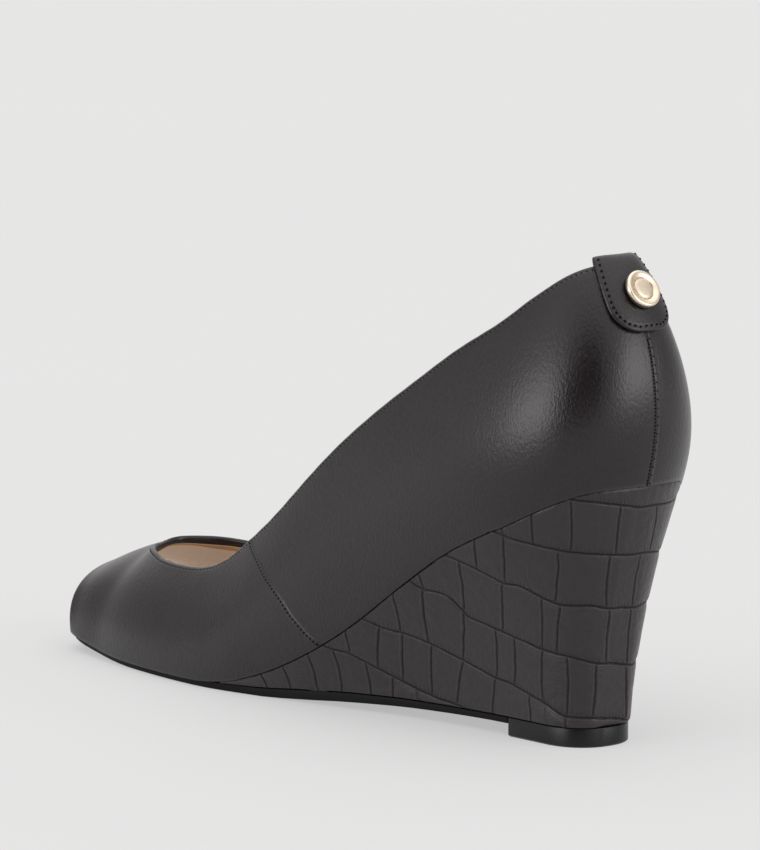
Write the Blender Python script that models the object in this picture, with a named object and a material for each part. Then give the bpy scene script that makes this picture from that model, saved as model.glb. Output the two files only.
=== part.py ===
"""Peep-toe wedge pump, the left shoe of a pair, as separate closed pieces.

Metres, +Z up, +X towards the toe, +Y towards the outer side of the foot.
The origin is the middle of the top piece's underside, where the heel meets the floor.
Shapes are worked out in shoe coordinates: x from the back of the heel seat, y from the
heel's centre line, z from the floor. Every object is then moved to the origin above.
"""

from collections import namedtuple
from math import acos, cos, pi, radians, sin

import bmesh
import bpy
import numpy as np
from mathutils import Vector

# Last: the foot form that everything is built around
SHOE_LENGTH = 0.224
BALL_WIDTH = 0.069
HEEL_HEIGHT = 0.0695
BACK_HEIGHT = 0.0575
TOE_SWING = 0.005
TOE_SPRING = 0.0052

# How the centre line swings: the share of the length it starts at, and its power
SWING_FROM = 0.3
SWING_POWER = 1.6

# Leather and sole stock
UPPER_WALL = 0.0016
INSOLE_THICKNESS = 0.0018
WAIST_THICKNESS = 0.0026
TREAD_THICKNESS = 0.0019
SOLE_TUCK = 0.0016
WEDGE_TUCK = 0.0009

# Top piece and the foot of the wedge that stands on it
TOP_PIECE_LENGTH = 0.0270
TOP_PIECE_WIDTH = 0.0240
TOP_PIECE_HEIGHT = 0.0050
TOP_PIECE_CHAMFER = 0.0004
HEEL_LEAN = 0.0122
HEEL_SHIFT = 0.0010

# Its outline: the share of its length that is rounded, and how blunt the round back is
TOP_PIECE_ROUND = 0.49
TOP_PIECE_BLUNT = 2.3

# How the wedge flares: 1 is a straight side, more draws it in sooner below the foot bed
FLARE_POWER = 1.45

# Back tab, its width at the topline and at its widest, and its stud
TAB_TOP_WIDTH = 0.0160
TAB_WIDTH = 0.0200
TAB_DROP = 0.0205
TAB_FLAP = 0.0085
TAB_THICKNESS = 0.0012
TAB_CORNER = 0.0068
STUD_RADIUS = 0.0051
STUD_HEIGHT = 0.0018
STUD_FROM_EDGE = 0.0100

# Clearance between two pieces that meet
GAP = 0.0003

# Underside of the outsole at the top piece's front, as a share of TOP_PIECE_HEIGHT
SHANK_START = 0.68

# Along the length, as shares of SHOE_LENGTH: where the outsole has its waist thickness,
# where it has thinned to the tread, where the flat tread ends and where the wedge runs out
WAIST_AT = 0.49
TREAD_FROM = 0.62
TREAD_END = 0.79
WEDGE_TIP = 0.612

# Share of the turn round the heel where the sections start to end square to the shoe
SQUARE_FROM = 0.55

# Faces along the length and up the leather; the sections crowd towards the throat
RIBS_TO_THROAT = 40
RIB_CROWDING = 1.5
RIBS_OVER_VAMP = 9
RIB_STEPS = 12
WEDGE_STATIONS = 30
WEDGE_LEVELS = 8
SOLE_STATIONS = 40
TAB_COLUMNS = 14
TAB_ROWS = 9
TAB_ROW_CROWDING = 1.6
FLAP_ROWS = 3
STUD_SIDES = 32
TOP_PIECE_STEPS = 36

# How the leather is eased in front of the throat: where that starts along the length, how
# often it is done, and the two shares by which a point goes to and from its neighbours' mean
EASED_FROM = 0.62
EASE_PASSES = 60
EASE_TO_AND_FRO = (0.5, -0.46)

# Steps by which slopes are measured: round the plan outline, and on the leather
PLAN_STEP = 1e-4
LEATHER_STEP = 0.004
FOLD_STEP = 0.03

# Shares of a section and turns round the heel at which the leather is measured for the tab
MEASURED_SHARES = np.linspace(1.0, 0.2, 81)
MEASURED_TURNS = np.linspace(-0.9, 0.9, 37)

# Half widths of the last's feather line from its centre line, as shares of BALL_WIDTH
Outline = namedtuple("Outline", "along outer inner")
OUTLINE = [
    Outline(0.0000, 0.000, 0.000),
    Outline(0.0134, 0.184, 0.190),
    Outline(0.0446, 0.294, 0.306),
    Outline(0.0982, 0.362, 0.378),
    Outline(0.1786, 0.389, 0.392),
    Outline(0.2800, 0.390, 0.364),
    Outline(0.3800, 0.386, 0.354),
    Outline(0.4900, 0.413, 0.396),
    Outline(0.5900, 0.454, 0.466),
    Outline(0.6700, 0.474, 0.509),
    Outline(0.7500, 0.465, 0.514),
    Outline(0.8300, 0.438, 0.474),
    Outline(0.8950, 0.403, 0.408),
    Outline(0.9480, 0.372, 0.326),
    Outline(0.9780, 0.296, 0.228),
    Outline(1.0000, 0.000, 0.000),
]

# Height of the foot bed over the outsole, as a share of its height at the heel's back
Rise = namedtuple("Rise", "along share")
RISE = [
    Rise(0.000, 1.000),
    Rise(0.018, 0.993),
    Rise(0.054, 0.941),
    Rise(0.130, 0.813),
    Rise(0.210, 0.688),
    Rise(0.300, 0.498),
    Rise(0.390, 0.296),
    Rise(0.450, 0.186),
    Rise(0.520, 0.088),
    Rise(0.573, 0.038),
    Rise(0.612, 0.0135),
    Rise(0.655, 0.000),
]

# Height of the outsole's underside from the top piece to the tread, as a share of its start
Shank = namedtuple("Shank", "along share")
SHANK = [
    Shank(0.180, 1.00),
    Shank(0.320, 0.86),
    Shank(0.420, 0.58),
    Shank(0.495, 0.22),
    Shank(0.560, 0.00),
]

# How far the sole's edge has widened from the top piece's width to the last's own width
Spread = namedtuple("Spread", "along share")
SPREAD = [
    Spread(0.175, 0.00),
    Spread(0.245, 0.07),
    Spread(0.317, 0.22),
    Spread(0.420, 0.59),
    Spread(0.495, 0.79),
    Spread(0.570, 0.91),
    Spread(0.650, 1.00),
]

# Sections through the upper, from the back seam to the edge of the peep hole.
# foot and reach: where a section leaves the feather line and where it ends, along the length
# outer and inner: its end's distance from the centre line, as shares of BALL_WIDTH
# rise: its end's height over its foot, as a share of BACK_HEIGHT
# low and top: the leather's slope in degrees at its foot and at its end
# full: how full the section is, as the length of its handles over its span
Section = namedtuple("Section", "foot reach outer inner rise low top full")
SECTIONS = [
    Section(0.0000, 0.049, 0.000, 0.000, 0.992, 71, 49, 0.360),
    Section(0.0089, 0.060, 0.108, 0.100, 0.985, 70, 50, 0.360),
    Section(0.0550, 0.110, 0.225, 0.203, 0.925, 70, 60, 0.360),
    Section(0.1200, 0.151, 0.288, 0.268, 0.916, 71, 67, 0.360),
    Section(0.2000, 0.208, 0.334, 0.315, 0.917, 72, 73, 0.360),
    Section(0.3000, 0.303, 0.354, 0.342, 0.914, 74, 77, 0.360),
    Section(0.4000, 0.400, 0.365, 0.352, 0.915, 75, 79, 0.360),
    Section(0.4900, 0.485, 0.366, 0.350, 0.842, 77, 77, 0.360),
    Section(0.5600, 0.549, 0.358, 0.346, 0.746, 78, 73, 0.360),
    Section(0.6200, 0.608, 0.342, 0.335, 0.640, 79, 69, 0.362),
    Section(0.6800, 0.672, 0.324, 0.314, 0.520, 80, 62, 0.365),
    Section(0.7350, 0.735, 0.307, 0.288, 0.485, 80, 52, 0.365),
    Section(0.7900, 0.793, 0.274, 0.250, 0.484, 80, 40, 0.360),
    Section(0.8350, 0.836, 0.214, 0.190, 0.494, 80, 30, 0.352),
    Section(0.8650, 0.862, 0.122, 0.104, 0.495, 80, 16, 0.352),
    Section(0.8820, 0.871, 0.000, 0.000, 0.495, 80, 0, 0.370),
    Section(0.9150, 0.912, 0.000, 0.000, 0.434, 81, 0, 0.420),
    Section(0.9520, 0.962, 0.000, 0.000, 0.330, 82, 0, 0.455),
]
THROAT_ROW = 15

# Profile of the stud from its seat to its sunk face, as shares of its radius and height
StudRing = namedtuple("StudRing", "radius height")
STUD_PROFILE = [
    StudRing(0.95, 0.00),
    StudRing(1.00, 0.35),
    StudRing(0.94, 0.80),
    StudRing(0.82, 1.00),
    StudRing(0.61, 0.78),
]

MATERIALS = {
    "smooth_leather": ((0.052, 0.049, 0.050), 0.42, 0.0),
    "croc_leather": ((0.040, 0.039, 0.041), 0.40, 0.0),
    "sole_rubber": ((0.018, 0.018, 0.019), 0.55, 0.0),
    "top_piece_rubber": ((0.028, 0.028, 0.030), 0.50, 0.0),
    "insole_leather": ((0.52, 0.37, 0.24), 0.60, 0.0),
    "pale_gold": ((0.72, 0.66, 0.54), 0.28, 1.0),
}


def clear_scene():
    for old in list(bpy.data.objects):
        bpy.data.objects.remove(old, do_unlink=True)


def spline(knots, values, level_ends=False):
    """A cubic spline through the knots, straight at its ends or else level there."""
    t = np.asarray(knots, float)
    y = np.asarray(values, float)
    count = len(t)
    step = np.diff(t)
    slope = np.diff(y) / step
    system = np.eye(count)
    right = np.zeros(count)
    for i in range(1, count - 1):
        system[i, i - 1:i + 2] = step[i - 1], 2 * (step[i - 1] + step[i]), step[i]
        right[i] = 6 * (slope[i] - slope[i - 1])
    if level_ends:
        system[0, :2] = 2 * step[0], step[0]
        right[0] = 6 * slope[0]
        system[-1, -2:] = step[-1], 2 * step[-1]
        right[-1] = -6 * slope[-1]
    bend = np.linalg.solve(system, right)

    def curve(at):
        i = np.clip(np.searchsorted(t, at) - 1, 0, count - 2)
        near = at - t[i]
        far = t[i + 1] - at
        width = step[i]
        bent = bend[i] * far ** 3 / (6 * width) + bend[i + 1] * near ** 3 / (6 * width)
        start = (y[i] / width - bend[i] * width / 6) * far
        end = (y[i + 1] / width - bend[i + 1] * width / 6) * near
        return bent + start + end

    return curve


def steady(knots, values):
    """A smooth curve that never rises where its table falls, and is level past its ends."""
    t = np.asarray(knots, float)
    y = np.asarray(values, float)
    step = np.diff(t)
    slope = np.diff(y) / step
    tangent = np.zeros(len(t))
    for i in range(1, len(t) - 1):
        if slope[i - 1] * slope[i] > 0:
            before = 2 * step[i] + step[i - 1]
            after = step[i] + 2 * step[i - 1]
            tangent[i] = (before + after) / (before / slope[i - 1] + after / slope[i])

    def curve(at):
        at = np.clip(at, t[0], t[-1])
        i = np.clip(np.searchsorted(t, at) - 1, 0, len(t) - 2)
        q = (at - t[i]) / step[i]
        start = y[i] * (1 + 2 * q) * (1 - q) ** 2 + tangent[i] * step[i] * q * (1 - q) ** 2
        end = y[i + 1] * q * q * (3 - 2 * q) - tangent[i + 1] * step[i] * q * q * (1 - q)
        return start + end

    return curve


def turn_at(along):
    """Angle that runs from 0 at the back to pi at the toe, for a share of the length."""
    return acos(1 - 2 * min(max(along, 0.0), 1.0))


def both_sides(rows, outer, inner):
    """Knots and values round the heel: inner side negative, outer side positive."""
    turns = [turn_at(row[0]) for row in rows]
    knots = [-t for t in reversed(turns[1:])] + turns
    values = [v for v in reversed(inner[1:])] + list(outer)
    return spline(knots, values)


half_width = both_sides(OUTLINE, [row.outer for row in OUTLINE], [-row.inner for row in OUTLINE])
foot_rise = steady([row.along for row in RISE], [row.share for row in RISE])
shank_share = steady([row.along for row in SHANK], [row.share for row in SHANK])
spread_share = steady([row.along for row in SPREAD], [row.share for row in SPREAD])


def centre_line(x):
    """The last's centre line swings inwards towards the toe."""
    run = (x / SHOE_LENGTH - SWING_FROM) / (1 - SWING_FROM)
    return -TOE_SWING * max(0.0, run) ** SWING_POWER


def breast():
    return HEEL_LEAN + TOP_PIECE_LENGTH


def sole_bottom(x):
    """Underside of the outsole: shank curve, flat tread, toe spring."""
    end = TREAD_END * SHOE_LENGTH
    if x < end:
        return SHANK_START * TOP_PIECE_HEIGHT * float(shank_share(x / SHOE_LENGTH))
    return TOE_SPRING * ((x - end) / (SHOE_LENGTH - end)) ** 2


sole_thickness = steady(
    [breast(), WAIST_AT * SHOE_LENGTH, TREAD_FROM * SHOE_LENGTH],
    [(1 - SHANK_START) * TOP_PIECE_HEIGHT, WAIST_THICKNESS, TREAD_THICKNESS],
)


def sole_top(x):
    """Upper face of the outsole, level with the top piece where the two meet."""
    return sole_bottom(x) + float(sole_thickness(x))


def foot_bed(x):
    """Face that carries the upper and the insole: wedge behind, outsole in front."""
    over = HEEL_HEIGHT - TOP_PIECE_HEIGHT
    return sole_top(max(x, breast())) + over * float(foot_rise(x / SHOE_LENGTH))


def feather_point(turn, tuck=0.0):
    """Point of the last's plan outline, moved inwards square to the outline by tuck."""
    def plan(at):
        x = SHOE_LENGTH * (1 - cos(at)) / 2
        return np.array([x, centre_line(x) + BALL_WIDTH * float(half_width(at))])

    ahead = plan(min(turn + PLAN_STEP, pi)) - plan(max(turn - PLAN_STEP, -pi))
    out = np.array([-ahead[1], ahead[0]]) / np.hypot(*ahead)
    return plan(turn) - tuck * out, out


def top_piece_half(depth):
    """Half width of the top piece at a depth from its back: a blunt round back."""
    share = min(1.0, depth / (TOP_PIECE_ROUND * TOP_PIECE_LENGTH))
    return TOP_PIECE_WIDTH / 2 * (1 - (1 - share) ** TOP_PIECE_BLUNT) ** (1 / TOP_PIECE_BLUNT)


def sole_edge(turn):
    """Edge of the outsole: the last's outline tucked in, drawn in to the top piece's width."""
    point, _ = feather_point(turn, SOLE_TUCK)
    side = 1 if turn > 0 else -1
    narrow = HEEL_SHIFT + side * TOP_PIECE_WIDTH / 2
    share = float(spread_share(point[0] / SHOE_LENGTH))
    return np.array([point[0], narrow + (point[1] - narrow) * share])


def section_curves():
    """The table of sections as curves of the turn round the heel, by column."""
    turns = [turn_at(row.foot) for row in SECTIONS]
    knots = [-t for t in reversed(turns[1:])] + turns
    curves = {}
    for column in ("rise", "low", "top", "full"):
        values = [getattr(row, column) for row in SECTIONS]
        curves[column] = spline(knots, list(reversed(values[1:])) + values)
    outer = [row.outer for row in SECTIONS]
    inner = [-row.inner for row in SECTIONS]
    curves["side"] = spline(knots, list(reversed(inner[1:])) + outer)
    reach = [row.reach for row in SECTIONS]
    topline = slice(0, THROAT_ROW + 1)
    crest = slice(THROAT_ROW, None)
    curves["topline_reach"] = spline(turns[topline], reach[topline], level_ends=True)
    curves["crest_reach"] = spline(turns[crest], reach[crest])
    return curves, turns[THROAT_ROW], turns[-1]


CURVES, THROAT_TURN, PEEP_TURN = section_curves()


def reach_of(turn):
    """Where along the length a section ends; the topline runs square across the throat."""
    part = "topline_reach" if abs(turn) <= THROAT_TURN else "crest_reach"
    return SHOE_LENGTH * float(CURVES[part](abs(turn)))


def upper_rib(turn):
    """Foot, end and the two handles of one section of the upper, as a Bezier curve."""
    plan, out = feather_point(turn)
    foot = np.array([plan[0], plan[1], foot_bed(plan[0]) + GAP])
    x = reach_of(turn)
    on_crest = abs(turn) >= THROAT_TURN - 1e-9
    side = 0.0 if on_crest else float(CURVES["side"](turn))
    end = np.array([x, centre_line(x) + BALL_WIDTH * side, foot[2]])
    end[2] += BACK_HEIGHT * float(CURVES["rise"](turn))
    before = SQUARE_FROM * THROAT_TURN
    mix = min(1.0, max(0.0, (abs(turn) - before) / (THROAT_TURN - before)))
    across = -out * (1 - mix) + np.array([0.0, -1.0 if turn > 0 else 1.0]) * mix
    across /= np.hypot(*across)
    low = radians(float(CURVES["low"](turn)))
    top = 0.0 if on_crest else radians(max(0.0, float(CURVES["top"](turn))))
    reach = np.linalg.norm(end - foot)
    pull = float(CURVES["full"](turn)) * reach
    leave = np.array([out[0] * cos(low), out[1] * cos(low), sin(low)])
    arrive = np.array([across[0] * cos(top), across[1] * cos(top), sin(top)])
    return foot, foot + pull * leave, end - pull * arrive, end


def on_rib(rib, share):
    a, b, c, d = rib
    q = 1 - share
    return q ** 3 * a + 3 * q * q * share * b + 3 * q * share * share * c + share ** 3 * d


def leather_normal(turn, share):
    """Direction square to the upper's outer face, pointing out."""
    step = LEATHER_STEP
    along = on_rib(upper_rib(turn + step), share) - on_rib(upper_rib(turn - step), share)
    rib = upper_rib(turn)
    up = on_rib(rib, min(1.0, share + step)) - on_rib(rib, share - step)
    normal = np.cross(up, along)
    return normal / np.linalg.norm(normal)


def upper_point(turn, share, lift=0.0):
    """Point of the upper's outer face, or of a face at a distance outside it."""
    here = on_rib(upper_rib(turn), share)
    return here + lift * leather_normal(turn, share) if lift else here


def material(name):
    color, roughness, metallic = MATERIALS[name]
    made = bpy.data.materials.new(name)
    made.use_nodes = True
    shader = made.node_tree.nodes["Principled BSDF"]
    shader.inputs["Base Color"].default_value = (*color, 1.0)
    shader.inputs["Roughness"].default_value = roughness
    shader.inputs["Metallic"].default_value = metallic
    return made


def add_piece(name, bm, material_name):
    """Turn a bmesh into an object that stands at the origin of the finished shoe."""
    mesh = bpy.data.meshes.new(name)
    bm.to_mesh(mesh)
    bm.free()
    mesh.materials.append(material(material_name))
    mesh.shade_smooth()
    mesh.set_sharp_from_angle(angle=radians(40))
    piece = bpy.data.objects.new(name, mesh)
    bpy.context.scene.collection.objects.link(piece)
    piece.location = (-(HEEL_LEAN + TOP_PIECE_LENGTH / 2), -HEEL_SHIFT, 0.0)
    return piece


def face_out(bm):
    """Turn all faces of a closed shape outwards."""
    bmesh.ops.recalc_face_normals(bm, faces=bm.faces)
    if bm.calc_volume(signed=True) < 0:
        bmesh.ops.reverse_faces(bm, faces=bm.faces)


def band(levels):
    """Close a horseshoe of levels: side walls, two faces across it and its open end."""
    bm = bmesh.new()
    rows = [[bm.verts.new(point) for point in level] for level in levels]
    count = len(rows[0])
    for low, high in zip(rows, rows[1:]):
        for i in range(count - 1):
            bm.faces.new((low[i], low[i + 1], high[i + 1], high[i]))
        bm.faces.new((low[-1], low[0], high[0], high[-1]))
    for row in (rows[0], rows[-1]):
        for i in range(count // 2):
            j = count - 1 - i
            ring = [row[i], row[i + 1], row[j - 1], row[j]]
            corners = [v for k, v in enumerate(ring) if v not in ring[:k]]
            bm.faces.new(corners)
    bmesh.ops.remove_doubles(bm, verts=bm.verts, dist=1e-7)
    bmesh.ops.triangulate(bm, faces=bm.faces, quad_method="SHORT_EDGE")
    face_out(bm)
    return bm


def ease_vamp(bm):
    """Smooth the leather in front of the throat; its edges and its fullness stay."""
    free = [v for v in bm.verts if not v.is_boundary and v.co.x > EASED_FROM * SHOE_LENGTH]
    for factor in EASE_TO_AND_FRO * EASE_PASSES:
        means = [sum((e.other_vert(v).co for e in v.link_edges), Vector()) / len(v.link_edges)
                 for v in free]
        for vert, mean in zip(free, means):
            vert.co = vert.co.lerp(mean, factor)


def make_upper():
    """One sheet from the feather line to topline and peep edge, with a wall of leather."""
    shares = np.linspace(0.0, 1.0, RIBS_TO_THROAT + 1)
    back = THROAT_TURN * (1 - (1 - shares) ** RIB_CROWDING)
    front = np.linspace(THROAT_TURN, PEEP_TURN, RIBS_OVER_VAMP + 1)[1:]
    outer_turns = np.concatenate([back, front])
    turns = np.concatenate([-outer_turns[:0:-1], outer_turns])
    last = len(turns) - 1
    bm = bmesh.new()
    columns = []
    for i, turn in enumerate(turns):
        rib = upper_rib(turn)
        points = [on_rib(rib, k / RIB_STEPS) for k in range(RIB_STEPS + 1)]
        crest = None
        if turn >= THROAT_TURN - 1e-9:
            crest = columns[last - i][-1]
            points.pop()
        column = [bm.verts.new(point) for point in points]
        columns.append(column + [crest] if crest else column)
    for one, two in zip(columns, columns[1:]):
        for k in range(RIB_STEPS):
            bm.faces.new((one[k], one[k + 1], two[k + 1], two[k]))
    ease_vamp(bm)
    upper = add_piece("upper", bm, "smooth_leather")
    wall = upper.modifiers.new("wall", "SOLIDIFY")
    wall.thickness = UPPER_WALL
    wall.offset = -1.0
    wall.use_even_offset = True
    return upper


def make_insole():
    """Foot bed cover inside the upper."""
    tuck = UPPER_WALL + 2 * GAP
    turns = np.linspace(-pi, pi, 2 * SOLE_STATIONS + 1)
    plan = [feather_point(turn, tuck)[0] for turn in turns]
    levels = []
    for height in (GAP, GAP + INSOLE_THICKNESS):
        levels.append([(x, y, foot_bed(x) + height) for x, y in plan])
    return add_piece("insole", band(levels), "insole_leather")


def make_wedge():
    """Wedge heel: flares up from the top piece's outline to the last's."""
    tip = WEDGE_TIP * SHOE_LENGTH
    turns = np.linspace(-turn_at(WEDGE_TIP), turn_at(WEDGE_TIP), 2 * WEDGE_STATIONS + 1)
    tops = []
    feet = []
    for turn in turns:
        x, y = feather_point(turn, WEDGE_TUCK)[0]
        tops.append(np.array([x, y, foot_bed(x)]))
        under = HEEL_LEAN + x * (tip - HEEL_LEAN) / tip
        side = 1 if turn > 0 else -1
        if under <= breast():
            across = HEEL_SHIFT + side * top_piece_half(under - HEEL_LEAN)
        else:
            across = sole_edge(side * turn_at(under / SHOE_LENGTH))[1]
        feet.append(np.array([under, across, sole_top(max(under, breast())) + GAP]))
    levels = []
    for share in np.linspace(0.0, 1.0, WEDGE_LEVELS + 1):
        inward = 1 - (1 - share) ** FLARE_POWER
        mix = np.array([inward, inward, share])
        levels.append([top + (foot - top) * mix for top, foot in zip(tops, feet)])
    return add_piece("wedge", band(levels), "croc_leather")


def make_outsole():
    """Outsole from the top piece's front to the toe, on one flat tread."""
    back = turn_at((breast() + GAP + SOLE_TUCK) / SHOE_LENGTH)
    turns = np.linspace(back, pi, SOLE_STATIONS + 1)
    plan = [sole_edge(turn) for turn in turns]
    plan += [sole_edge(-turn) for turn in turns[-2::-1]]
    start = breast() + GAP
    for point in (plan[0], plan[-1]):
        point[0] = start
    levels = []
    for height in (sole_bottom, sole_top):
        levels.append([(x, y, height(x)) for x, y in plan])
    return add_piece("outsole", band(levels), "sole_rubber")


def make_top_piece():
    """Wear piece under the heel, with a blunt round back and a straight front."""
    shares = np.linspace(-1.0, 1.0, TOP_PIECE_STEPS + 1)
    levels = []
    for height, inset in ((0.0, TOP_PIECE_CHAMFER), (TOP_PIECE_CHAMFER, 0.0), (TOP_PIECE_HEIGHT, 0.0)):
        level = []
        for share in shares:
            depth = TOP_PIECE_LENGTH * share * share
            half = top_piece_half(depth) * (1 - 2 * inset / TOP_PIECE_WIDTH)
            x = HEEL_LEAN + inset + depth * (1 - 2 * inset / TOP_PIECE_LENGTH)
            level.append((x, HEEL_SHIFT + (half if share > 0 else -half), height))
        levels.append(level)
    return add_piece("top_piece", band(levels), "top_piece_rubber")


def rib_share_at(turn, distance):
    """Share of a section that lies a distance below its end, measured along the leather."""
    rib = upper_rib(turn)
    points = np.array([on_rib(rib, share) for share in MEASURED_SHARES])
    run = np.concatenate([[0.0], np.cumsum(np.linalg.norm(np.diff(points, axis=0), axis=1))])
    return float(np.interp(distance, run, MEASURED_SHARES))


def across_tab(below, half):
    """Turn and share of the points in one row of the tab, spread evenly over its width."""
    distances = np.linspace(-half, half, TAB_COLUMNS + 1)
    points = [upper_point(turn, rib_share_at(turn, below)) for turn in MEASURED_TURNS]
    run = np.concatenate([[0.0], np.cumsum(np.linalg.norm(np.diff(points, axis=0), axis=1))])
    run -= np.interp(0.0, MEASURED_TURNS, run)
    row = np.interp(distances, run, MEASURED_TURNS)
    return [(turn, rib_share_at(turn, below)) for turn in row]


def tab_half_width(below):
    """Half width of the tab at a distance below the topline: it widens, then rounds off."""
    straight = TAB_DROP - TAB_CORNER
    widened = sin(pi / 2 * min(1.0, below / straight))
    half = (TAB_TOP_WIDTH + (TAB_WIDTH - TAB_TOP_WIDTH) * widened) / 2
    if below <= straight:
        return half
    inside = min(1.0, (below - straight) / TAB_CORNER)
    return half - TAB_CORNER * (1 - (1 - inside ** 2) ** 0.5)


def make_heel_tab():
    """Tab folded over the topline: outside face, fold and a short flap inside."""
    middle = GAP + TAB_THICKNESS / 2
    over = UPPER_WALL / 2 + middle
    rows = []
    for k in range(TAB_ROWS, 0, -1):
        below = TAB_DROP * (1 - (1 - k / TAB_ROWS) ** TAB_ROW_CROWDING)
        spots = across_tab(below, tab_half_width(below))
        rows.append([upper_point(turn, share, middle) for turn, share in spots])
    folds = []
    for turn, _ in across_tab(0.0, TAB_TOP_WIDTH / 2):
        edge = upper_point(turn, 1.0)
        out = leather_normal(turn, 1.0 - LEATHER_STEP)
        up = edge - upper_point(turn, 1.0 - FOLD_STEP)
        folds.append((edge - out * UPPER_WALL / 2, out, up / np.linalg.norm(up)))
    for angle in (0, 45, 90, 135, 180):
        outwards = over * cos(radians(angle))
        upwards = over * sin(radians(angle))
        rows.append([spine + outwards * out + upwards * up for spine, out, up in folds])
    for k in range(1, FLAP_ROWS + 1):
        spots = across_tab(TAB_FLAP * k / FLAP_ROWS, TAB_TOP_WIDTH / 2)
        rows.append([upper_point(turn, share, -(UPPER_WALL + middle)) for turn, share in spots])
    bm = bmesh.new()
    grid = [[bm.verts.new(point) for point in row] for row in rows]
    for low, high in zip(grid, grid[1:]):
        for i in range(TAB_COLUMNS):
            bm.faces.new((low[i], low[i + 1], high[i + 1], high[i]))
    tab = add_piece("heel_tab", bm, "smooth_leather")
    sheet = tab.modifiers.new("sheet", "SOLIDIFY")
    sheet.thickness = TAB_THICKNESS
    sheet.offset = 0.0
    sheet.use_even_offset = True
    return tab


def make_stud():
    """Round stud on the tab: raised lip round a sunk face, turned about its axis."""
    share = rib_share_at(0.0, STUD_FROM_EDGE)
    seat = upper_point(0.0, share, 2 * GAP + TAB_THICKNESS)
    axis = leather_normal(0.0, share)
    side = np.array([0.0, 1.0, 0.0])
    up = np.cross(axis, side)
    bm = bmesh.new()
    rings = []
    for spot in STUD_PROFILE:
        ring = []
        for i in range(STUD_SIDES):
            angle = 2 * pi * i / STUD_SIDES
            flat = STUD_RADIUS * spot.radius * (side * cos(angle) + up * sin(angle))
            ring.append(bm.verts.new(seat + flat + axis * STUD_HEIGHT * spot.height))
        rings.append(ring)
    for low, high in zip(rings, rings[1:]):
        for i in range(STUD_SIDES):
            j = (i + 1) % STUD_SIDES
            bm.faces.new((low[i], low[j], high[j], high[i]))
    bm.faces.new(rings[0])
    bm.faces.new(rings[-1])
    face_out(bm)
    return add_piece("stud", bm, "pale_gold")


def main():
    clear_scene()
    make_upper()
    make_insole()
    make_wedge()
    make_outsole()
    make_top_piece()
    make_heel_tab()
    make_stud()


main()
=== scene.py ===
"""Looks of a left peep-toe wedge pump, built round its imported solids.

The upper's leather, lining, seams and stitches, the embossed cover of the wedge, the
back tab with its button, the soles and the foot bed, and the stage they stand on.
Metres, +Z up, +X towards the toe, +Y towards the outer side of the foot. The origin is
the middle of the top piece's underside.
"""

from collections import namedtuple
from contextlib import contextmanager
from math import cos, pi, radians, sin

import bmesh
import bpy
import numpy as np
from bpy.props import FloatProperty, FloatVectorProperty, IntProperty, PointerProperty
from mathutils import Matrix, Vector
from mathutils.bvhtree import BVHTree
from mathutils.kdtree import KDTree


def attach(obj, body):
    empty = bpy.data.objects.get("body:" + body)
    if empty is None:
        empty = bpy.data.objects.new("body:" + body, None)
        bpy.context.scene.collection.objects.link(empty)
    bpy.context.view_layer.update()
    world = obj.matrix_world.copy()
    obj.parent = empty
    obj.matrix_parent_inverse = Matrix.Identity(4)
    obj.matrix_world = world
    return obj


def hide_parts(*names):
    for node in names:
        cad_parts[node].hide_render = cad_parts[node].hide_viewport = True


bl_info = {
    "name": "Wedge Pump",
    "version": (1, 0, 0),
    "blender": (4, 5, 0),
    "location": "View3D > Sidebar > Wedge Pump",
    "description": "Builds the leather, trim and soles of a peep-toe wedge pump",
    "category": "Object",
}

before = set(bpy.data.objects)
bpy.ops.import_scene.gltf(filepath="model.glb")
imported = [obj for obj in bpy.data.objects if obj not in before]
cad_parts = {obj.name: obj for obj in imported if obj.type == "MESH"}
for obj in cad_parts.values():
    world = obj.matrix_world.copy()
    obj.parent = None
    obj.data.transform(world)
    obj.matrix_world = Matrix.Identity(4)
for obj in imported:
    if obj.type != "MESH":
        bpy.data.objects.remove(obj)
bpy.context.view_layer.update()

MM = 0.001
TINY = 1e-9

# Points beside the faces that the recipes look for, the angle that ends a smooth patch,
# and the fewest faces that the upper's outside or inside has
UPPER_OUTSIDE = (-28.5 * MM, 0.0, 90 * MM)
UPPER_INSIDE = (-26.9 * MM, 0.0, 90 * MM)
TAB_OUTSIDE = (-28.0 * MM, 0.0, 113 * MM)
SHARP = radians(50)
FEWEST_FACES = 400

# Leather of the upper: how far its foot is let down on the soles, the stretch above it
# that follows, where the smoothed part of the vamp starts, and how far it keeps from borders
FOOT_DROP = 0.5 * MM
FOOT_REACH = 2.2 * MM
VAMP_START = 125 * MM
VAMP_BORDER = 2.5 * MM

# Lining: how far it is drawn back at its foot, over which reach at the foot and at the
# topline, its gap to the leather, and where its tan band ends
LINING_FOOT = 1.3 * MM
LINING_FOOT_REACH = 9 * MM
LINING_TOP_REACH = 10 * MM
LINING_GAP = 0.12 * MM
TAN_BAND = (4.6 * MM, 5.1 * MM)

# Side seam where the quarter laps over the vamp, from the sole up to the topline: x and z
SEAM_X, SEAM_Z = MM * np.array([
    (70.0, 15.0), (77.5, 20.1), (82.5, 24.5), (85.9, 27.9), (90.4, 31.3), (98.6, 36.5),
    (104.0, 39.2), (107.5, 41.5),
]).T

# How deep the threads lie in the leather, and how far those of the tab stand out
THREAD_SINK = 0.06 * MM
BACK_THREAD_SINK = 0.08 * MM
TAB_THREAD_LIFT = 0.02 * MM

# Rays that look for the shoe's skin start this far out at its sides and behind it
SIDE_START = 80 * MM
BACK_START = 60 * MM

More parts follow.
